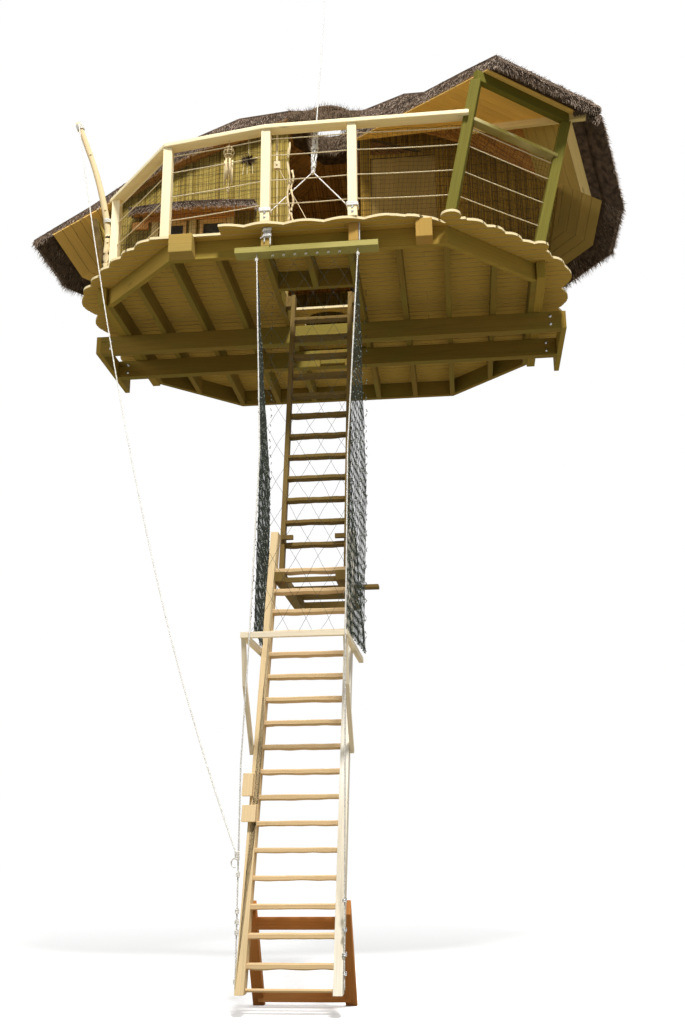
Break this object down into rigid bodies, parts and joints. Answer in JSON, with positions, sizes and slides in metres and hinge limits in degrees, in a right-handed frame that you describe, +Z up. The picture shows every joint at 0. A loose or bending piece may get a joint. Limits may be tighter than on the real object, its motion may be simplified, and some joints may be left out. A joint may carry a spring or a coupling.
{
  "type": "tree house",
  "caption": "Thatched hut of reed screens on a scalloped octagonal deck clamped to a tree trunk, with a railed terrace, a long netted ladder and safety ropes.",
  "frame": {"origin": "middle of the flat face of the front pad, that bears on the front of the trunk", "axes": "+Z up along the trunk, +Y from the ladder side to the back, +X to the right seen from the ladder side"},
  "size_m": [7.1924, 6.0081, 10.395],
  "materials": {
    "beam_timber": "matt, weathered brown",
    "frame_timber": "matt, greenish",
    "deck_boards": "matt, sawn",
    "rail_timber": "matt, pale",
    "white_rope": "matt, laid rope",
    "reed_screen": "matt, split reed",
    "brown_reed": "matt, split reed",
    "door_boards": "matt",
    "window_wood": "matt",
    "window_glass": "clear, dark behind",
    "thatch": "matt, heather twigs",
    "straw": "matt, straw",
    "soffit_boards": "matt, planed",
    "ladder_timber": "matt, rough sawn",
    "ladder_brown": "matt, rough sawn",
    "base_timber": "matt, red-brown",
    "net_cord": "matt, knotted cord",
    "pole_wood": "matt, bare pole"
  },
  "bodies": {
    "root": {"main_beam_front": "beam_timber", "main_beam_back": "beam_timber", "end_planks": "frame_timber", "side_timbers": "frame_timber", "trunk_pads": "beam_timber", "joists": "beam_timber", "front_rims": "frame_timber", "rear_rims": "beam_timber", "hatch_header": "beam_timber", "deck_front": "deck_boards", "deck_left": "deck_boards", "deck_right": "deck_boards", "deck_back": "deck_boards", "deck_middle": "deck_boards", "post_blocks": "frame_timber", "railing_posts": "rail_timber", "leaning_posts": "rail_timber", "header_beam": "rail_timber", "top_rails": "rail_timber", "rail_ropes": "white_rope", "hook_board": "frame_timber", "wall_front_left": "reed_screen", "wall_front_right": "brown_reed", "door_leaf": "door_boards", "window_frames": "window_wood", "window_panes": "window_glass", "window_canopy": "thatch", "wall_left": "reed_screen", "wall_right": "brown_reed", "wall_back": "reed_screen", "side_screens": "reed_screen", "soffit_boards": "soffit_boards", "thatch_left": "thatch", "thatch_back": "thatch", "thatch_right": "thatch", "thatch_hood": "thatch", "thatch_collar": "straw", "lower_stringers": "ladder_timber", "lower_treads": "ladder_timber", "upper_stringers": "ladder_brown", "upper_treads": "ladder_brown", "base_frame": "base_timber", "mid_landing": "ladder_brown", "net_frame": "ladder_timber", "net_left": "net_cord", "net_right": "net_cord", "net_front": "net_cord", "lifelines": "white_rope", "haul_rope": "white_rope", "gin_pole": "pole_wood", "stay_rope": "white_rope", "pulley": "pole_wood"}
  },
  "joints": []
}
